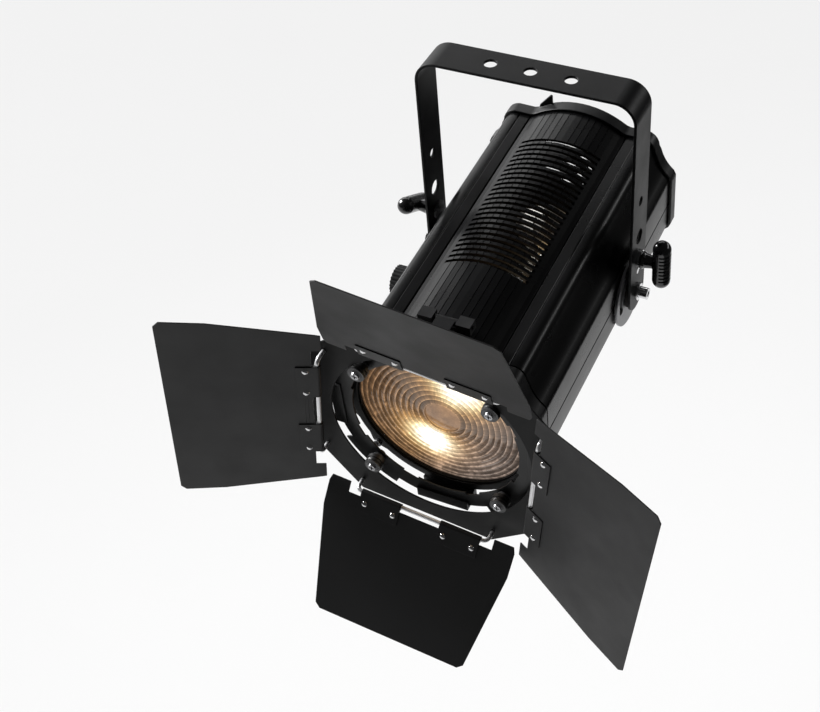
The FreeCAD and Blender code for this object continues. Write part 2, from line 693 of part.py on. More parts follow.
def make_carriage():
    """The sled under the lamp: plate, rack arm, four bushes on two rails, and the rack."""
    forward = dim("carriage_forward")
    where = LAMP.multiply(Place(V(0, -forward, 0), Rot()))
    sled = box(-50, 50, -30, 30, -39.5, -37).fuse(box(-66, -50, -25, 25, -39.5, -37))
    strut = box(-9, 9, 28.0, 29.5, -38, -23.5)
    arm = box(-66, -63.5, -25, 25, -37.5, -14)
    shelf = box(-72, -63.5, -90, 25, -16.5, -14)
    shape_piece("lamp_carriage", where, sled.fuse([arm, shelf, strut]).removeSplitter())
    spread, low, radius = dim("rail_spread"), dim("rail_height"), dim("rail_dia") / 2.0
    bushes = []
    for side in (-1, 1):
        for y in (-29.0, 17.0):
            start = V(side * spread, y, low)
            block = box(start.x - 8, start.x + 8, y, y + 12, low - 8, -39.5)
            bushes.append(block.cut(Part.makeCylinder(radius + 0.08, 40, start - Y * 10, Y)))
    group("carriage_bushes", where, bushes)
    rails = [rod((s * spread, 116.5, low), (s * spread, -160.0, low), radius) for s in (-1, 1)]
    group("carriage_rails", LAMP, rails)
    ends = []
    for y in (107.0, -156.0):
        bar = box(-46, 46, y - 3, y + 3, low - 13, low + 7)
        for side in (-1, 1):
            near, far = sorted((side * 20.0, side * 30.0))
            bar = bar.fuse(box(near, far, y - 3, y + 3, -66.8, low - 12))
            spot = V(side * spread, y - 10, low)
            bar = bar.cut(Part.makeCylinder(radius, 20, spot, Y))
        ends.append(bar.removeSplitter())
    group("rail_supports", LAMP, ends)
    make_rack_and_pinion(where, forward)


def tooth_outline(centre, pitch_line, up, pitch):
    """A straight-sided tooth with plenty of backlash, as four points (along, height)."""
    root, tip, tall = 0.27 * pitch, 0.13 * pitch, 0.27 * pitch
    return [(centre - root, pitch_line - up * tall), (centre - tip, pitch_line + up * tall),
            (centre + tip, pitch_line + up * tall), (centre + root, pitch_line - up * tall)]


def make_rack_and_pinion(where, forward):
    radius, teeth = dim("gear_pitch_radius"), int(dim("gear_teeth"))
    pitch = 2.0 * math.pi * radius / teeth
    line = dim("knob_height") - radius
    # the pinion has a gap at its lowest point, where the rack has a tooth
    rack_teeth = int(dim("rack_teeth"))
    first = -dim("knob_forward") - (rack_teeth // 2 - 1) * pitch
    outline = [(first - pitch / 2, -14.0)]
    for index in range(rack_teeth):
        outline += tooth_outline(first + index * pitch, line, 1.0, pitch)
    outline.append((first + (rack_teeth - 0.5) * pitch, -14.0))
    outline = [(y + forward, z) for y, z in outline]
    body = new_body("focus_rack", where)
    sketch = new_sketch(body, "YZ_Plane", [outline], (), dim("rack_centre") - 3.5)
    pad(body, sketch, 7.0)
    shaft = Place(V(0, -dim("knob_forward"), dim("knob_height")), Rot())
    spot = LAMP.multiply(shaft)
    gear = []
    for index in range(teeth):
        turn = 2.0 * math.pi * (index + 0.5) / teeth - math.pi / 2.0
        for along, height in tooth_outline(0.0, radius, 1.0, pitch):
            angle = turn + along / radius
            gear.append((height * math.cos(angle), height * math.sin(angle)))
    body = new_body("focus_pinion_shaft", spot)
    pad(body, new_sketch(body, "YZ_Plane", [gear], (), dim("rack_centre") - 4.5), 9.0)
    doc.recompute()
    pad(body, new_sketch(body, "YZ_Plane", (), [((0, 0), 3.0)], -104.0), 42.0)
    profile = [(-84.4, 3.06), (-84.4, 8.5), (-85.4, 8.5), (-85.4, 5.9), (-90.0, 5.9),
               (-90.0, 3.06)]
    turned("focus_shaft_bush", spot, profile, "H_Axis")
    make_knob(spot)


def make_knob(spot):
    """The focus knob: a thick disc with ribs along its rim, on the left end of the shaft."""
    radius, ribs, deep = dim("knob_radius"), 24, 0.9
    outline = []
    for index in range(2 * ribs):
        reach = radius if index % 2 else radius - deep
        for shift in (-0.3, 0.3):
            angle = math.pi * (index + shift) / ribs
            outline.append((reach * math.cos(angle), reach * math.sin(angle)))
    body = new_body("focus_knob", spot)
    pad(body, new_sketch(body, "YZ_Plane", [outline], (), -106.0), 14.0)
    doc.recompute()
    pocket(body, new_sketch(body, "YZ_Plane", (), [((0, 0), 3.0)], -98.0), 12.0)
    dished = new_sketch(body, "YZ_Plane", (), [((0, 0), radius - 4.0)], -106.0)
    pocket(body, dished, 1.6)


def make_wiring():
    """The ceramic terminal block on the floor, and the gland where the mains cable comes in."""
    block = box(-15, 15, 74, 96, -69.8, -58.0)
    for step in (-1, 0, 1):
        block = block.cut(Part.makeCylinder(2.4, 8, V(9.0 * step, 80, -62.0), Z))
        block = block.cut(Part.makeCylinder(2.4, 8, V(9.0 * step, 90, -62.0), Z))
    shape_piece("terminal_block", LAMP, block)
    back = -dim("cap_back")
    profile = [(4.2, back - 9.0), (8.0, back - 9.0), (8.0, back), (11.0, back),
               (11.0, back + 5.0), (9.0, back + 6.0), (9.0, back + 12.0), (6.4, back + 17.0),
               (4.2, back + 17.0)]
    where = LAMP.multiply(Place(V(0, 0, -42.0), Rot()))
    turned("cable_gland", where, profile, "V_Axis")


make_lens()
make_lamp()
make_carriage()
make_wiring()


# ---------------------------------------------------------------- accessory holder
def turned_about(shape, angle):
    copy = shape.copy()
    copy.rotate(V(0, 0, 0), Y, angle)
    return copy


def make_accessory_holder():
    """Three channels on the nose hold the accessory ring by its tabs; the latch keeps the top."""
    face, thick = dim("ring_face"), dim("ring_thick")
    back, reach, half = face - thick, dim("tab_reach"), dim("tab_width") / 2.0
    channel = box(-half, half, -(face + 2.0), -(dim("frame_front")), reach + 0.3, reach + 2.3)
    channel = channel.fuse(box(-half, half, -(face + 2.0), -face, 83.5, reach + 2.3))
    channel = channel.fuse(box(-half, half, -back, -(back - 2.0), 84.5, reach + 2.3))
    inside = dim("nose_radius") + 0.3
    foot = box(-half, half, -(dim("frame_front") + 2.0), -dim("frame_front"), inside, reach + 2.3)
    channel = channel.fuse(foot).removeSplitter()
    group("accessory_channels", OPTIC, [turned_about(channel, a) for a in (90.0, 180.0, 270.0)])
    outer, inner = dim("ring_outer"), dim("ring_inner")
    plate_ = Part.makeCylinder(outer, thick, V(0, -back, 0), Y * -1.0)
    for angle in (0.0, 90.0, 180.0, 270.0):
        tab = box(-half + 1.0, half - 1.0, -face, -back, inner + 2.0, reach)
        plate_ = plate_.fuse(turned_about(tab, angle))
    # the plate is wider behind each roller
    lobe, spread = dim("lobe_radius"), math.radians(dim("lobe_half_angle"))
    sector = Part.makePolygon([
        V(0, -face, 0), V(2.0 * lobe * math.sin(spread), -face, 2.0 * lobe * math.cos(spread)),
        V(-2.0 * lobe * math.sin(spread), -face, 2.0 * lobe * math.cos(spread)), V(0, -face, 0),
    ])
    wedge = Part.Face(sector).extrude(Y * thick)
    wedge = wedge.common(Part.makeCylinder(lobe, thick, V(0, -back, 0), Y * -1.0))
    for angle in (45.0, 135.0, 225.0, 315.0):
        plate_ = plate_.fuse(turned_about(wedge, angle))
    opening = Part.makeCylinder(inner, 3 * thick, V(0, -back + thick, 0), Y * -1.0)
    for step in range(8):
        notch = box(-7.0, 7.0, -face - 1, -back + 1, inner - 3.0, inner + 2.2)
        opening = opening.fuse(turned_about(notch, 22.5 + 45.0 * step))
    plate_ = plate_.removeSplitter().cut(opening)
    for x, z in roller_spots():
        plate_ = plate_.cut(Part.makeCylinder(2.4, 20, V(x, -back + 5, z), Y * -1.0))
    shape_piece("accessory_ring", OPTIC, plate_)


def roller_spots():
    radius = dim("roller_pitch_radius") * math.sqrt(0.5)
    return [(radius, radius), (-radius, radius), (-radius, -radius), (radius, -radius)]


ROLLER_NAMES = ("upper_right", "upper_left", "lower_left", "lower_right")


def make_rollers():
    """Four grooved rollers on screws carry the edge of the barndoor's opening."""
    plate_front = dim("door_face")
    plate_back = plate_front - dim("door_thick")
    start, end = plate_back - 3.6, plate_front + 2.0
    rim = dim("roller_radius") + 0.2
    groove = dim("door_opening") - dim("roller_pitch_radius") - 0.1
    screws = []
    for name, (x, z) in zip(ROLLER_NAMES, roller_spots()):
        where = OPTIC.multiply(Place(V(x, 0, z), Rot()))
        profile = [(2.46, -start), (rim, -start), (rim, -(plate_back - 0.3)),
                   (groove, -(plate_back - 0.3)), (groove, -(plate_front + 0.3)),
                   (rim, -(plate_front + 0.3)), (rim - 0.4, -end), (2.46, -end)]
        turned("roller_" + name, where, profile, "V_Axis")
        back = dim("ring_face") - dim("ring_thick")
        base = V(x, -(end + 0.3), z)
        washer = dim("roller_washer_radius")
        head = Part.makeCylinder(washer, 1.0, base, Y * -1.0)
        head = head.fuse(Part.makeCone(washer - 1.2, 4.6, 0.7, base - Y, Y * -1.0))
        head = head.fuse(Part.makeCone(4.0, 3.4, 1.4, base - Y * 1.7, Y * -1.0))
        head = head.cut(cross_recess(base - Y * 3.1, 2.5, 0.6, 1.6))
        sleeve = Part.makeCylinder(5.2, start - 0.3 - dim("ring_face"), V(x, -start + 0.3, z), Y)
        shank = rod((x, -end - 0.5, z), (x, -back + 2.0, z), 2.4)
        nut = Part.makeCylinder(4.6, 2.6, V(x, -back, z), Y)
        screws.append(head.fuse(sleeve).fuse(shank).fuse(nut).removeSplitter())
    group("roller_screws", OPTIC, screws)


def cross_recess(top, half_length, half_width, depth):
    """The cut for a cross-head driver, running back from top."""
    level = box(-half_length, half_length, -0.1, depth, -half_width, half_width)
    upright = box(-half_width, half_width, -0.1, depth, -half_length, half_length)
    cross = level.fuse(upright)
    cross.translate(top)
    return cross


def make_latch():
    """The sprung catch on top of the nose that keeps the accessory ring in its channels."""
    y, z = -dim("latch_forward"), dim("latch_height")
    hinge = LAMP.multiply(Place(V(0, y, z), Rot()))
    reach = dim("ring_face") + y
    tab_top = dim("tab_reach") + dim("lens_height") - z
    across, narrow, lug = 10.0, 8.0, 12.5
    knuckle = Part.makeCylinder(3.2, 2.0 * across, V(-across, 0, 0), X)
    leaf = box(-narrow, narrow, -reach - 2.6, 0, tab_top + 0.8, tab_top + 2.2)
    lip = box(-narrow, narrow, -reach - 2.6, -reach - 0.6, tab_top - 6.0, tab_top + 2.2)
    finger = box(-narrow, narrow, -reach + 8.0, -reach + 9.4, tab_top + 2.0, tab_top + 6.0)
    latch = knuckle.fuse(leaf).fuse(lip).fuse(finger).removeSplitter()
    latch = latch.cut(Part.makeCylinder(1.75, 60.0, V(-30, 0, 0), X))
    shape_piece("top_latch", hinge, latch)
    # the bracket stands on the crest of the dome, with an eared lug at each end of the knuckle
    seat = dim("crest_height") - z
    outside = across + 0.4 + lug
    bracket = box(-outside, outside, -5.5, 5.5, seat + 0.1, seat + 1.3)
    for side in (-1, 1):
        near, far = sorted((side * (outside - lug), side * outside))
        bracket = bracket.fuse(box(near, far, -5.5, 5.5, seat + 0.1, 4.0))
    bracket = bracket.removeSplitter().cut(rod((-30, 0, 0), (30, 0, 0), 1.7))
    group("latch_bracket", hinge, [bracket, rod((-outside - 1, 0, 0), (outside + 1, 0, 0), 1.7)])


# ---------------------------------------------------------------- barndoor
def make_door_plate():
    """The turning plate: an octagon with a round opening that runs on the rollers."""
    half, total = dim("door_half_width"), dim("door_chamfer_sum")
    short = total - half
    corners = [(half, short), (short, half)]
    outline = []
    for step in range(4):
        angle = math.radians(90.0 * step)
        for x, z in corners:
            outline.append((x * math.cos(angle) - z * math.sin(angle),
                            x * math.sin(angle) + z * math.cos(angle)))
    body = new_body("barndoor_plate", DOOR)
    back = dim("door_face") - dim("door_thick")
    opening = [((0, 0), dim("door_opening"))]
    pad(body, new_sketch(body, "XZ_Plane", [outline], opening, back), "dims.door_thick")


def make_hinge_rods():
    """Four bent wire hinges: feet on the plate, a bend, and a straight run beside the opening."""
    rods = []
    half, stand, radius = dim("rod_half_length") - 12.0, dim("rod_stand"), dim("rod_dia") / 2.0
    face, away, bend = -dim("door_face"), dim("rod_offset"), 5.0
    low = bend * (1.0 - math.sqrt(0.5))
    for step in range(4):
        top = face - stand
        left = [V(-half, face, away), V(-half, top + bend, away)]
        first = Part.Arc(left[1], V(-half + low, top + low, away), V(-half + bend, top, away))
        second = Part.Arc(V(half - bend, top, away), V(half - low, top + low, away),
                          V(half, top + bend, away))
        edges = [Part.LineSegment(left[0], left[1]), first,
                 Part.LineSegment(V(-half + bend, top, away), V(half - bend, top, away)), second,
                 Part.LineSegment(V(half, top + bend, away), V(half, face, away))]
        path = Part.Wire([edge.toShape() for edge in edges])
        section = Part.Wire([Part.Circle(V(-half, face, away), Y, radius).toShape()])
        wire = path.makePipeShell([section], True, False)
        rods.append(turned_about(wire, 90.0 * step))
    group("hinge_rods", DOOR, rods)


LEAVES = (
    ("top", 0.0, "narrow", 68.0, 86.0, 6.0),
    ("left", -90.0, "wide", 76.0, 94.0, 4.0),
    ("bottom", 180.0, "narrow", 68.0, 86.0, 6.0),
    ("right", 90.0, "wide", 76.0, 94.0, 4.0),
)


def make_leaf(name, round_angle, kind, ear_in, ear_out, ear_deep):
    """One leaf with its two hinge straps and their rivets, in the leaf's own frame.

    The hinge line is the frame's X axis, the sheet runs out along +Z and the beam is on -Y.
    """
    away = dim("rod_offset")
    opened = Rot(X, dim(name + "_open"))
    hinge = Place(V(0, -(dim("door_face") + dim("rod_stand")), away), opened)
    where = DOOR.multiply(Place(V(0, 0, 0), Rot(Y, round_angle))).multiply(hinge)
    reach, thick = dim("leaf_reach"), dim("leaf_thick")
    root_half, tip_half = dim(kind + "_root"), dim(kind + "_tip")
    bend = (dim(kind + "_bend"), dim(kind + "_bend_reach"))
    tube_in, tube_out = dim("rod_dia") / 2.0 + 0.08, dim("rod_dia") / 2.0 + 1.1
    right = [(ear_in, 4.5), (ear_in, -ear_deep), (ear_out, -ear_deep), (root_half, 0.0), bend,
             (tip_half, reach - 4.5), (tip_half - 5.0, reach)]
    outline = right + [(-x, z) for x, z in reversed(right)]
    body = new_body("leaf_" + name, where)
    pad(body, new_sketch(body, "XZ_Plane", [outline], (), tube_in), thick).Reversed = True
    spots = []
    for side in (-1, 1):
        for shift in (-0.5, 0.5):
            across = side * dim("strap_centre") + shift * dim("rivet_spacing")
            spots.append((across, dim("rivet_reach")))
    doc.recompute()
    pocket(body, new_sketch(body, "XZ_Plane", (), [(spot, 1.3) for spot in spots]), 30.0)
    straps, rivets = [], []
    half = dim("strap_width") / 2.0
    for side in (-1, 1):
        centre = side * dim("strap_centre")
        loop = rod((centre - half, 0, 0), (centre + half, 0, 0), tube_out)
        tail = box(centre - half, centre + half, -tube_out, -tube_in, 0, 17.5)
        strap = loop.fuse(tail).removeSplitter()
        strap = strap.cut(rod((centre - half - 1, 0, 0), (centre + half + 1, 0, 0), tube_in))
        for x, z in spots:
            strap = strap.cut(rod((x, -5, z), (x, 5, z), 1.3))
        straps.append(strap)
    for x, z in spots:
        head = Part.makeSphere(3.2, V(x, -tube_out + 1.7, z))
        head = head.common(box(x - 4, x + 4, -tube_out - 3, -tube_out, z - 4, z + 4))
        rivets.append(head.fuse(rod((x, -tube_out - 0.1, z), (x, -tube_in + thick, z), 1.28)))
    group("leaf_%s_straps" % name, where, straps)
    group("leaf_%s_rivets" % name, where, rivets)


make_accessory_holder()
make_rollers()
make_latch()
make_door_plate()
make_hinge_rods()
for leaf_row in LEAVES:
    make_leaf(*leaf_row)


# ---------------------------------------------------------------- check and export
doc.recompute()
failed = [o.Label for o in doc.Objects if "Invalid" in o.State or "Error" in o.State]
if failed:
    raise RuntimeError("objects that failed: " + ", ".join(failed))
for piece in pieces:
    if piece.Shape.isNull() or not piece.Shape.isValid():
        raise RuntimeError("not a valid shape: " + piece.Label)
for piece in pieces:
    piece.Shape.exportStep("parts/" + piece.Label + ".step")
print(len(pieces), "pieces written")
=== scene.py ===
"""Looks for the fresnel spotlight: softened metalwork, a lens with painted light, studio floor, lights
and camera.
"""
import json
import math
import bmesh
import bpy
from mathutils import Matrix, Vector

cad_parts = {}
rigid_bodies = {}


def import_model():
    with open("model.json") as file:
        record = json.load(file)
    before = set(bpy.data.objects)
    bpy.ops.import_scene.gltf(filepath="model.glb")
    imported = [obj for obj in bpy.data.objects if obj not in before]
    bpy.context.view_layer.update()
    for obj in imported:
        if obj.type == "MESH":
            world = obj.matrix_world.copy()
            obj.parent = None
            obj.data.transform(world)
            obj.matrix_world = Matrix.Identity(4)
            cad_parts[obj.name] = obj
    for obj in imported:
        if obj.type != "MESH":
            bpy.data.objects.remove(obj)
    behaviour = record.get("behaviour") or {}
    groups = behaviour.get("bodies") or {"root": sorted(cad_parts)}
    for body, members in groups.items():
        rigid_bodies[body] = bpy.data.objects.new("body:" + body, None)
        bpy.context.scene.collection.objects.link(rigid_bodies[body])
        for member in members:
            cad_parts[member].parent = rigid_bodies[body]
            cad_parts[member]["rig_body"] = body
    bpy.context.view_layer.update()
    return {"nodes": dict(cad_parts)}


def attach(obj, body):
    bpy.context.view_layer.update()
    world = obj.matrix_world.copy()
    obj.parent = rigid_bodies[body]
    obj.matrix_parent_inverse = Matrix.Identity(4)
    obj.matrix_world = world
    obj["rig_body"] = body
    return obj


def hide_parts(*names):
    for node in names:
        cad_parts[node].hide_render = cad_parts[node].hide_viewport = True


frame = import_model()
nodes = frame["nodes"]
scene = bpy.context.scene

# ---------------------------------------------------------------- frames, as in the CAD
PIVOT = Vector((0.0, 0.0, -0.207))
TILT, LENS_LIFT = math.radians(3.0), 0.0043
LAMP = Matrix.Translation(PIVOT) @ Matrix.Rotation(TILT, 4, "X")
OPTIC = LAMP @ Matrix.Translation((0.0, 0.0, LENS_LIFT))

# ---------------------------------------------------------------- camera
AZIMUTH, ELEVATION, ROLL = (math.radians(a) for a in (30.27, 44.31, -6.04))
AIM = Vector((-0.0797, -0.1033, -0.2573))
DISTANCE = 1.3405
back = Vector((math.sin(AZIMUTH) * math.cos(ELEVATION), -math.cos(AZIMUTH) * math.cos(ELEVATION),
               math.sin(ELEVATION)))
level = Vector((math.cos(AZIMUTH), math.sin(AZIMUTH), 0.0))
upright = back.cross(level)
right = math.cos(ROLL) * level + math.sin(ROLL) * upright
over = math.cos(ROLL) * upright - math.sin(ROLL) * level
camera_data = bpy.data.cameras.new("camera")
camera_data.sensor_width = 36.0
camera_data.lens = 64.98
camera_data.clip_end = 60.0
camera = bpy.data.objects.new("camera", camera_data)
scene.collection.objects.link(camera)
turn = Matrix((right, over, back)).transposed().to_4x4()
camera.matrix_world = Matrix.Translation(AIM + DISTANCE * back) @ turn
scene.camera = camera


# ---------------------------------------------------------------- shader helpers
class Shader:
    """A material's node tree with short calls for the nodes used here."""

    def __init__(self, name, base, rough, metallic=0.0, specular=0.5, coat=0.0):
        self.material = bpy.data.materials.new(name)
        self.material.use_nodes = True
        self.tree = self.material.node_tree
        self.shader = self.tree.nodes["Principled BSDF"]
        self.set("Base Color", (*base, 1.0))
        self.set("Roughness", rough)
        self.set("Metallic", metallic)
        self.set("Specular IOR Level", specular)
        self.set("Coat Weight", coat)
        self.set("Coat Roughness", 0.12)
        self.base, self.rough = base, rough

    def set(self, socket, value):
        self.shader.inputs[socket].default_value = value

    def node(self, kind, **values):
        made = self.tree.nodes.new("ShaderNode" + kind)
        for key, value in values.items():
            setattr(made, key, value)
        return made

    def link(self, start, end):
        self.tree.links.new(start, end)

    def value(self, kind, *sources):
        """A Math node; each source is a socket or a number."""
        made = self.node("Math", operation=kind)
        for index, source in enumerate(sources):
            if isinstance(source, (int, float)):
                made.inputs[index].default_value = source
            else:
                self.link(source, made.inputs[index])
        return made.outputs[0]

    def place(self, stretch=1.0):
        """Object coordinates in metres, times stretch."""
        where = self.node("TexCoord").outputs["Object"]
        grow = self.node("Mapping")
        grow.inputs["Scale"].default_value = (stretch,) * 3
        self.link(where, grow.inputs["Vector"])
        return grow.outputs[0]

    def noise(self, where, scale, detail=3.0, rough=0.55):
        made = self.node("TexNoise")
        made.inputs["Scale"].default_value = scale
        made.inputs["Detail"].default_value = detail
        made.inputs["Roughness"].default_value = rough
        self.link(where, made.inputs["Vector"])
        return made.outputs[0]

    def span(self, source, low, high, start=0.3, end=0.7):
        made = self.node("MapRange")
        self.link(source, made.inputs["Value"])
        for socket, number in (("From Min", start), ("From Max", end), ("To Min", low), ("To Max", high)):
            made.inputs[socket].default_value = number
        return made.outputs[0]

    def ramp(self, source, *stops):
        made = self.node("ValToRGB")
        self.link(source, made.inputs[0])
        elements = made.color_ramp.elements
        for index, (position, colour) in enumerate(stops):
            item = elements[index] if index < 2 else elements.new(position)
            item.position = position
            item.color = (*colour, 1.0)
        return made.outputs[0]

    def tint(self, source, spread):
        """Base colour that drifts a little darker and lighter."""
        dark = tuple(c * (1.0 - spread) for c in self.base)
        light = tuple(c * (1.0 + spread) for c in self.base)
        self.link(self.ramp(source, (0.3, dark), (0.7, light)), self.shader.inputs["Base Color"])

    def rougher(self, source, spread):
        self.link(self.span(source, self.rough - spread, self.rough + spread),
                  self.shader.inputs["Roughness"])

    def bump(self, source, depth, strength=0.5):
        made = self.node("Bump")
        made.inputs["Strength"].default_value = strength
        made.inputs["Distance"].default_value = depth
        self.link(source, made.inputs["Height"])
        self.link(made.outputs[0], self.shader.inputs["Normal"])


def powder(name, base, rough, specular, grain=1500.0, depth=0.00006, spread=0.05):
    """Powder coat: a fine orange peel, with slow drifts of tone and gloss."""
    made = Shader(name, base, rough, specular=specular)
    made.tint(made.noise(made.place(), 9.0), 0.22)
    made.rougher(made.noise(made.place(), 26.0), spread)
    made.bump(made.noise(made.place(), grain, 2.0), depth)
    return made.material


def metal(name, base, rough, grain=900.0, depth=0.00002, spread=0.05, metallic=1.0):
    """Bare or plated metal with a fine grain in its gloss and surface."""
    made = Shader(name, base, rough, metallic=metallic)
    fine = made.noise(made.place(), grain, 3.0)
    made.tint(made.noise(made.place(), 60.0), 0.1)
    made.rougher(fine, spread)
    made.bump(fine, depth)
    return made.material


def moulded(name, base, rough, coat=0.0, grain=700.0, depth=0.00005):
    """Moulded plastic, rubber or ceramic with an even grain."""
    made = Shader(name, base, rough, specular=0.5, coat=coat)
    made.tint(made.noise(made.place(), 40.0), 0.2)
    made.rougher(made.noise(made.place(), 90.0), 0.05)
    made.bump(made.noise(made.place(), grain, 2.0), depth)
    return made.material


TURNED_LINES = 3200.0  # per metre of radius


def turned_face(name, base, rough):
    """Satin metal faced on a lathe: fine rings about the tilt axis."""
    made = Shader(name, base, rough, metallic=0.6)
    spot = made.node("SeparateXYZ")
    made.link(made.place(), spot.inputs[0])
    height = made.value("ADD", spot.outputs[2], -PIVOT.z)
    forward = spot.outputs[1]
    radius = made.value("SQRT", made.value("ADD", made.value("MULTIPLY", forward, forward),
                                           made.value("MULTIPLY", height, height)))
    rings = made.node("TexNoise", noise_dimensions="1D")
    rings.inputs["Scale"].default_value = 1.0
    made.link(made.value("MULTIPLY", radius, TURNED_LINES), rings.inputs["W"])
    made.tint(rings.outputs[0], 0.16)
    made.rougher(rings.outputs[0], 0.07)
    made.bump(rings.outputs[0], 0.00003)
    return made.material


# ---------------------------------------------------------------- finishes
YOKE = powder("yoke_coat", (0.0064, 0.0064, 0.0068), 0.42, 0.17)
CASE = powder("case_coat", (0.0038, 0.0038, 0.0041), 0.28, 0.24, 1300.0, 0.000005, 0.02)
CAST = powder("cast_coat", (0.0052, 0.0052, 0.0056), 0.40, 0.34, 900.0, 0.00011)
SHEET = powder("sheet_coat", (0.0075, 0.0075, 0.0080), 0.50, 0.30, 1700.0, 0.00005)
PLATE = powder("plate_coat", (0.0034, 0.0034, 0.0037), 0.52, 0.17, 1700.0, 0.00005)
RING = powder("ring_coat", (0.0050, 0.0050, 0.0054), 0.38, 0.30)
DISC = turned_face("disc_satin", (0.30, 0.30, 0.31), 0.38)
ZINC = metal("bright_zinc", (0.70, 0.70, 0.71), 0.20)
WIRE = metal("polished_wire", (0.86, 0.86, 0.87), 0.30, 500.0, 0.000002, 0.02, 0.55)
SCREW = metal("dark_zinc", (0.40, 0.40, 0.41), 0.30)
RAIL = metal("ground_steel", (0.42, 0.42, 0.43), 0.30)
BRASS = metal("brass", (0.62, 0.44, 0.20), 0.28)
TUNGSTEN = Shader("hot_filament", (0.2, 0.18, 0.16), 0.5)
TUNGSTEN.set("Emission Color", (1.0, 0.72, 0.38, 1.0))
TUNGSTEN.set("Emission Strength", 0.4)
TUNGSTEN.bump(TUNGSTEN.noise(TUNGSTEN.place(), 2500.0), 0.0001)
TUNGSTEN = TUNGSTEN.material
GRIP = moulded("glossy_plastic", (0.006, 0.006, 0.0065), 0.22, 0.35)
KNOB = moulded("satin_plastic", (0.008, 0.008, 0.0085), 0.40)
RUBBER = moulded("rubber", (0.010, 0.010, 0.010), 0.62, 0.0, 500.0, 0.0001)
FIBRE = moulded("friction_fibre", (0.030, 0.027, 0.023), 0.75, 0.0, 1100.0, 0.00015)
WASHER = powder("washer_phosphate", (0.085, 0.085, 0.088), 0.38, 0.4, 1200.0, 0.00004)
CERAMIC = moulded("steatite", (0.72, 0.69, 0.63), 0.55, 0.0, 900.0, 0.00006)
MIRROR = metal("reflector", (0.50, 0.50, 0.50), 0.42, 220.0, 0.00006, 0.05, 0.6)


def quartz():
    made = Shader("quartz", (0.97, 0.97, 0.97), 0.04)
    made.set("Transmission Weight", 0.92)
    made.set("IOR", 1.46)
    made.bump(made.noise(made.place(), 140.0), 0.00008, 0.3)
    return made.material


QUARTZ = quartz()

LENS_RADIUS, LENS_CENTRE, LENS_RINGS = 0.0740, 0.0160, 11
RING_PITCH = (LENS_RADIUS - LENS_CENTRE) / LENS_RINGS
LOW_PAINTED_PATCH, HIGH_PAINTED_PATCH = -111.0, 66.0  # where the two painted patches of the lamp's light sit: degrees about the beam, from the lens's right
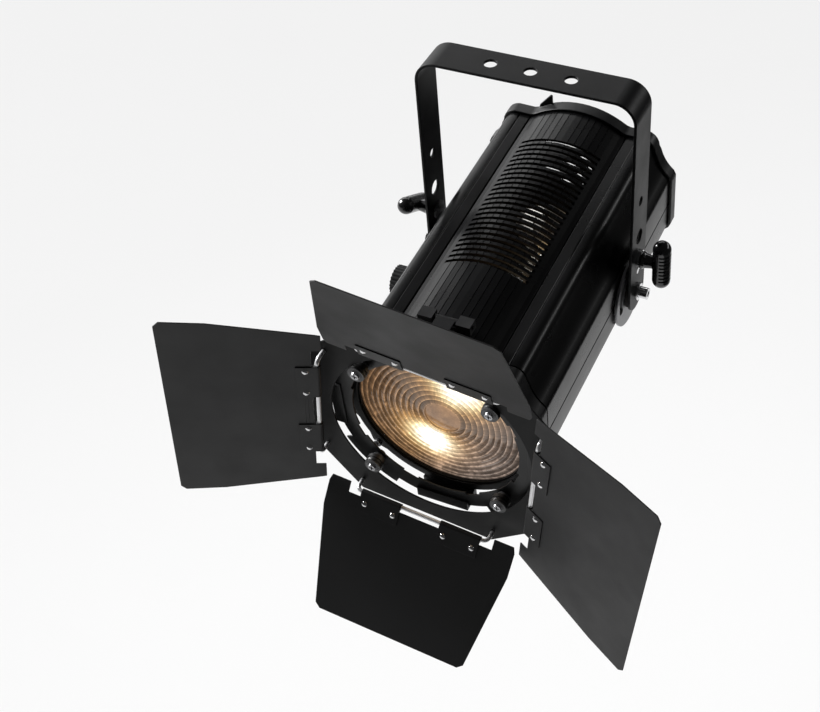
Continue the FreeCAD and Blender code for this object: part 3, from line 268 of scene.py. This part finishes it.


def painted_glow_lens():
    """Stepped glass with painted light standing for the lamp shining through it: each ring has a painted
    bright lip, and the lamp's image is painted smeared into two patches that are bent round the rings, on
    either side of the plain centre."""
    made = Shader("painted_glow_lens", (0.050, 0.030, 0.018), 0.11, specular=0.6)
    spot = made.node("SeparateXYZ")
    made.link(made.place(), spot.inputs[0])
    x, z = spot.outputs[0], spot.outputs[2]
    radius = made.value("SQRT", made.value("ADD", made.value("MULTIPLY", x, x),
                                           made.value("MULTIPLY", z, z)))
    grain = made.noise(made.place(260.0), 1.0, 4.0)
    drift = made.noise(made.place(55.0), 1.0, 2.0)
    wobble = made.value("MULTIPLY", made.value("SUBTRACT", drift, 0.5), 0.0016)
    outward = made.value("SUBTRACT", made.value("ADD", radius, wobble), LENS_CENTRE)
    part = made.value("DIVIDE", outward, RING_PITCH)
    phase = made.value("FRACT", part)
    # painted highlight: a bright lip at the inner edge of every ring
    painted_lip = made.ramp(phase, (0.0, (0.12,) * 3), (0.10, (1.0,) * 3), (0.22, (0.42,) * 3),
                    (0.50, (0.22,) * 3), (0.80, (0.10,) * 3), (1.0, (0.12,) * 3))
    in_rings = made.value("GREATER_THAN", radius, LENS_CENTRE)
    # painted light: the plain centre glows evenly
    painted_centre_glow = made.value("MULTIPLY", made.value("SUBTRACT", 1.0, in_rings), 0.80)
    # painted glints along each lip, different from ring to ring
    around = made.node("CombineXYZ")
    made.link(made.value("MULTIPLY", made.value("ARCTAN2", z, x), 9.0), around.inputs[0])
    made.link(made.value("MULTIPLY", made.value("FLOOR", part), 3.7), around.inputs[1])
    painted_glints = made.span(made.noise(around.outputs[0], 1.0, 3.0, 0.7), 0.62, 1.9, 0.42, 0.72)
    painted_lip = made.value("MULTIPLY", painted_lip, painted_glints)
    # painted light of the ring lips and of the plain centre together
    rings = made.value("ADD", made.value("MULTIPLY", painted_lip, in_rings), painted_centre_glow)

    def painted_patch(middle, depth, angle, spread, power):
        """A soft painted patch of light at a radius and an angle, bent round the rings."""
        a = made.value("DIVIDE", made.value("SUBTRACT", radius, middle), depth)
        facing = made.value("ADD", made.value("MULTIPLY", x, math.cos(math.radians(angle))),
                            made.value("MULTIPLY", z, math.sin(math.radians(angle))))
        aside = made.value("SUBTRACT", 1.0, made.value("DIVIDE", facing, radius))
        fall = made.value("ADD", made.value("MULTIPLY", a, a),
                          made.value("MULTIPLY", aside, 2.0 / spread ** 2))
        return made.value("MULTIPLY", made.value("EXPONENT", made.value("MULTIPLY", fall, -1.0)), power)

    # painted light: two bright patches where the lamp's image shows, with a wider faint haze round each
    low = painted_patch(0.0330, 0.0165, LOW_PAINTED_PATCH, 0.56, 3.2)
    high = painted_patch(0.0470, 0.0220, HIGH_PAINTED_PATCH, 0.50, 3.0)
    painted_haze = made.value("ADD", painted_patch(0.030, 0.040, LOW_PAINTED_PATCH, 1.1, 0.42),
                      painted_patch(0.030, 0.040, HIGH_PAINTED_PATCH, 1.0, 0.42))
    painted_patches = made.value("ADD", made.value("ADD", low, high), painted_haze)
    painted_patches = made.value("MULTIPLY", painted_patches, made.span(radius, 0.22, 1.0, 0.0135, 0.022))
    # the painted patches are strongest on the ring lips
    veiled = made.value("ADD", made.value("MULTIPLY", rings, 0.68), 0.32)
    painted_shine = made.value("ADD", made.value("MULTIPLY", painted_patches, veiled),
                       made.value("MULTIPLY", rings, 0.34))
    strength = made.value("MULTIPLY", painted_shine, made.span(grain, 0.78, 1.2))
    # colour of the painted light: whiter where the painted patches are brightest
    warm = made.ramp(made.value("MULTIPLY", painted_patches, 0.4), (0.0, (0.82, 0.46, 0.24)),
                     (0.20, (1.0, 0.57, 0.23)), (0.5, (1.0, 0.76, 0.40)), (1.0, (1.0, 0.93, 0.78)))
    # painted light turns paler and pinker towards one side of the lens
    aside = made.value("SUBTRACT", made.value("MULTIPLY", x, 0.77), made.value("MULTIPLY", z, 0.64))
    painted_side_tint = made.node("MixRGB")
    painted_side_tint.inputs["Color2"].default_value = (0.90, 0.72, 0.62, 1.0)
    made.link(made.span(aside, 0.0, 0.85, 0.012, 0.062), painted_side_tint.inputs["Fac"])
    made.link(warm, painted_side_tint.inputs["Color1"])
    scaled = made.node("VectorMath", operation="SCALE")
    made.link(painted_side_tint.outputs[0], scaled.inputs[0])
    made.link(strength, scaled.inputs["Scale"])
    # the painted light goes out as emission, so the lens glows by itself
    made.link(scaled.outputs[0], made.shader.inputs["Emission Color"])
    made.set("Emission Strength", 1.0)
    made.bump(made.noise(made.place(420.0), 1.0, 2.0), 0.00002, 0.4)
    return made.material


# lens material whose glow is painted light
LENS_PAINTED_GLOW = painted_glow_lens()


# ---------------------------------------------------------------- pieces made from CAD nodes
def body_name(node):
    return nodes[node]["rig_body"]


def finish_mesh(mesh, smooth_below):
    """Smooth shading, with a hard line wherever the surface turns by more than smooth_below."""
    bm = bmesh.new()
    bm.from_mesh(mesh)
    for face in bm.faces:
        face.smooth = True
    for edge in bm.edges:
        sharp = len(edge.link_faces) == 2 and edge.calc_face_angle(0.0) > math.radians(smooth_below)
        edge.smooth = not sharp
    bm.to_mesh(mesh)
    bm.free()


MERGE_GAP = 4e-6
FLAT_TURN, EDGE_TURN, HARD_TURN, LENS_TURN = 0.5, 32.0, 50.0, 38.0  # degrees between two faces


def soften(node, width, material):
    """The CAD node again with its edges rounded by width (mm), standing for the node."""
    bm = bmesh.new()
    bm.from_mesh(nodes[node].data)
    bmesh.ops.remove_doubles(bm, verts=bm.verts, dist=MERGE_GAP)
    bmesh.ops.dissolve_limit(bm, angle_limit=math.radians(FLAT_TURN), verts=bm.verts, edges=bm.edges,
                             use_dissolve_boundaries=False)
    bm.edges.ensure_lookup_table()
    edges = [e for e in bm.edges if len(e.link_faces) == 2
             and e.calc_face_angle(0.0) > math.radians(EDGE_TURN)]
    bmesh.ops.bevel(bm, geom=edges, offset=width / 1000.0, segments=2, profile=0.5,
                    affect="EDGES", clamp_overlap=False, loop_slide=True)
    bmesh.ops.recalc_face_normals(bm, faces=bm.faces)
    mesh = bpy.data.meshes.new(node + "_soft")
    bm.to_mesh(mesh)
    bm.free()
    finish_mesh(mesh, HARD_TURN)
    piece = bpy.data.objects.new(node + "_soft", mesh)
    scene.collection.objects.link(piece)
    mesh.materials.append(material)
    even = piece.modifiers.new("even_shading", "WEIGHTED_NORMAL")
    even.keep_sharp = True
    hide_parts(node)
    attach(piece, body_name(node))


def repaint(node, *materials):
    """The CAD node as it is, with other materials."""
    data = nodes[node].data
    data.materials.clear()
    for material in materials:
        data.materials.append(material)


ROLLER_RADIUS = 0.0828
ROLLER_ACROSS = ROLLER_RADIUS * math.sqrt(0.5)
SCREW_REACH = 0.0041


def screw_and_washer(node, reach, screw, washer):
    """Two finishes on one node: the screws' own faces, within reach (m) of a roller's axis."""
    repaint(node, washer, screw)
    data = nodes[node].data
    into = OPTIC.inverted() @ nodes[node].matrix_world
    for face in data.polygons:
        spot = into @ face.center
        gap = math.hypot(abs(spot.x) - ROLLER_ACROSS, abs(spot.z) - ROLLER_ACROSS)
        face.material_index = int(gap < reach)


SOFTENED = {
    "yoke": (0.5, YOKE), "case_side_left": (0.3, CASE),
    "case_side_right": (0.3, CASE), "case_bottom": (0.3, CASE), "rear_cap": (0.6, CAST),
    "front_frame": (0.5, CAST), "accessory_ring": (0.25, RING), "accessory_channels": (0.3, RING),
    "barndoor_plate": (0.3, PLATE), "tilt_disc_left": (0.4, DISC), "tilt_disc_right": (0.4, DISC),
    "focus_knob": (0.35, KNOB), "top_latch": (0.3, CAST),
}
LEAVES = ("top", "left", "bottom", "right")
for leaf in LEAVES:
    SOFTENED["leaf_" + leaf] = (0.22, SHEET)
    SOFTENED["leaf_%s_straps" % leaf] = (0.2, SHEET)
KEPT = {
    "pivot_bushes": ZINC, "friction_pads": FIBRE, "pivot_bolts": ZINC, "disc_screws": ZINC,
    "leg_bosses_and_stop_pins": ZINC, "clamp_shoes": SCREW, "clamp_stem_left": GRIP,
    "clamp_stem_right": GRIP, "clamp_grip_left": GRIP, "clamp_grip_right": GRIP,
    "case_screws": ZINC, "lens_retaining_ring": CAST, "lamp_socket": CERAMIC, "lamp_base": ZINC,
    "lamp_envelope": QUARTZ, "lamp_filament": TUNGSTEN, "reflector": MIRROR, "lamp_carriage": RAIL,
    "carriage_bushes": RAIL, "carriage_rails": ZINC, "rail_supports": RAIL, "focus_rack": BRASS,
    "focus_pinion_shaft": BRASS, "focus_shaft_bush": BRASS, "terminal_block": CERAMIC,
    "cable_gland": RUBBER, "latch_bracket": KNOB, "case_top": CASE, "hinge_rods": WIRE,
}
for corner in ("upper_right", "upper_left", "lower_left", "lower_right"):
    KEPT["roller_" + corner] = KNOB
for leaf in LEAVES:
    KEPT["leaf_%s_rivets" % leaf] = ZINC

screw_and_washer("roller_screws", SCREW_REACH, SCREW, WASHER)
for node, (width, material) in SOFTENED.items():
    soften(node, width, material)
for node, material in KEPT.items():
    repaint(node, material)


# ---------------------------------------------------------------- lens
def spun(name, profile, steps, where, material, body, *stands_for):
    """A profile of (radius, forward) points turned about the beam, standing for CAD nodes."""
    mesh = bpy.data.meshes.new(name)
    verts, faces = [], []
    for step in range(steps):
        angle = 2.0 * math.pi * step / steps
        for radius, forward in profile:
            verts.append((radius * math.cos(angle), -forward, radius * math.sin(angle)))
    count = len(profile)
    for step in range(steps):
        after = (step + 1) % steps
        for index in range(count - 1):
            a, b = step * count + index, after * count + index
            faces.append((a, b, b + 1, a + 1))
    mesh.from_pydata(verts, [], faces)
    bm = bmesh.new()
    bm.from_mesh(mesh)
    bmesh.ops.remove_doubles(bm, verts=bm.verts, dist=1e-7)
    bmesh.ops.recalc_face_normals(bm, faces=bm.faces)
    bm.to_mesh(mesh)
    bm.free()
    finish_mesh(mesh, LENS_TURN)
    mesh.materials.append(material)
    piece = bpy.data.objects.new(name, mesh)
    scene.collection.objects.link(piece)
    piece.matrix_world = where
    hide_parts(*stands_for)
    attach(piece, body)


def lens_profile():
    """From the back's middle, round the rim, and in over the rings to the plain centre."""
    face, back_face = 0.1985, 0.1920
    rim_back, rim_front, rim_drop = 0.0762, 0.0764, 0.0016
    ring_steps, ring_drop, ring_curve = 6, 0.0022, 1.7
    centre_steps, centre_drop = 8, 0.0014
    points = [(0.0, back_face), (rim_back, back_face), (rim_front, face - rim_drop),
              (LENS_RADIUS, face - rim_drop)]
    for index in reversed(range(LENS_RINGS)):
        inner = LENS_CENTRE + index * RING_PITCH
        drop = ring_drop * (0.5 + 0.5 * (index + 1) / LENS_RINGS)
        for step in range(ring_steps, -1, -1):
            share = step / ring_steps
            points.append((inner + 0.0003 + share * (RING_PITCH - 0.0004),
                           face - drop * share ** ring_curve))
        points.append((inner + 0.0001, face - 0.0006))
    for step in range(centre_steps, -1, -1):
        share = step / centre_steps
        points.append((LENS_CENTRE * share, face - centre_drop * share ** 2))
    return points


spun("lens_glass", lens_profile(), 192, OPTIC, LENS_PAINTED_GLOW, "housing", "lens")


# ---------------------------------------------------------------- floor, world and lights
def stage_floor():
    """A pale floor far below the lamp. It stops to the right, so that side reflects dark."""
    mesh = bpy.data.meshes.new("floor")
    height, reach, right_edge = -1.85, 9.0, 1.25
    mesh.from_pydata([(-reach, -reach, height), (right_edge, -reach, height),
                      (right_edge, reach, height), (-reach, reach, height)], [], [(0, 1, 2, 3)])
    pale = Shader("pale_floor", (0.86, 0.86, 0.86), 0.85, specular=0.1)
    pale.tint(pale.noise(pale.place(), 1.5), 0.004)
    mesh.materials.append(pale.material)
    floor = bpy.data.objects.new("floor", mesh)
    scene.collection.objects.link(floor)


def stage_world():
    """Pale where the camera sees past the floor, and dim as a light."""
    world = bpy.data.worlds.new("studio")
    world.use_nodes = True
    tree = world.node_tree
    sky = tree.nodes["Background"]
    sky.inputs["Color"].default_value = (0.9, 0.9, 0.9, 1.0)
    dim = tree.nodes.new("ShaderNodeMapRange")
    dim.inputs["To Min"].default_value = 0.05
    dim.inputs["To Max"].default_value = 1.0
    path = tree.nodes.new("ShaderNodeLightPath")
    tree.links.new(path.outputs["Is Camera Ray"], dim.inputs["Value"])
    tree.links.new(dim.outputs[0], sky.inputs["Strength"])
    scene.world = world


def aimed(spot, target):
    """A light's matrix at spot, shining at target."""
    return Matrix.Translation(spot) @ (spot - target).to_track_quat("Z", "Y").to_matrix().to_4x4()


MIDDLE = Vector((0.0, -0.08, -0.2))


def area(name, direction, distance, size, power):
    """A softbox at a distance from the lamp's middle in a direction, facing it."""
    data = bpy.data.lights.new(name, "AREA")
    data.shape = "RECTANGLE"
    data.size, data.size_y = size
    data.energy = power
    light = bpy.data.objects.new(name, data)
    scene.collection.objects.link(light)
    light.matrix_world = aimed(MIDDLE + Vector(direction).normalized() * distance, MIDDLE)


def sun(name, direction, strength, spread):
    """Even light from a direction; spread is its disc's angle in degrees."""
    data = bpy.data.lights.new(name, "SUN")
    data.energy = strength
    data.angle = math.radians(spread)
    light = bpy.data.objects.new(name, data)
    scene.collection.objects.link(light)
    light.matrix_world = aimed(Vector(direction), Vector((0.0, 0.0, 0.0)))


def stage_bulb():
    """A small beam from beside the envelope onto the reflector, which shows through the vents."""
    data = bpy.data.lights.new("bulb", "SPOT")
    data.energy = 0.26
    data.color = (1.0, 0.97, 0.92)
    data.spot_size = math.radians(38.0)
    data.spot_blend = 0.15
    data.shadow_soft_size = 0.002
    light = bpy.data.objects.new("bulb", data)
    scene.collection.objects.link(light)
    start, end = Vector((-0.006, 0.031, 0.034)), Vector((-0.019, 0.048, 0.015))
    light.matrix_world = aimed(LAMP @ start, LAMP @ end)


stage_floor()
stage_world()
sun("key", (-0.90, 0.095, 0.425), 7.2, 20.0)
area("shoulder_strip", (0.68, 0.62, 0.34), 1.6, (1.3, 0.16), 4.0)
area("left_wall", (-0.76, 0.62, 0.20), 1.8, (1.5, 0.5), 4.5)
area("back_strip", (-0.33, 0.80, 0.50), 1.8, (1.4, 0.35), 4.0)
stage_bulb()
scene.view_settings.view_transform = "Standard"
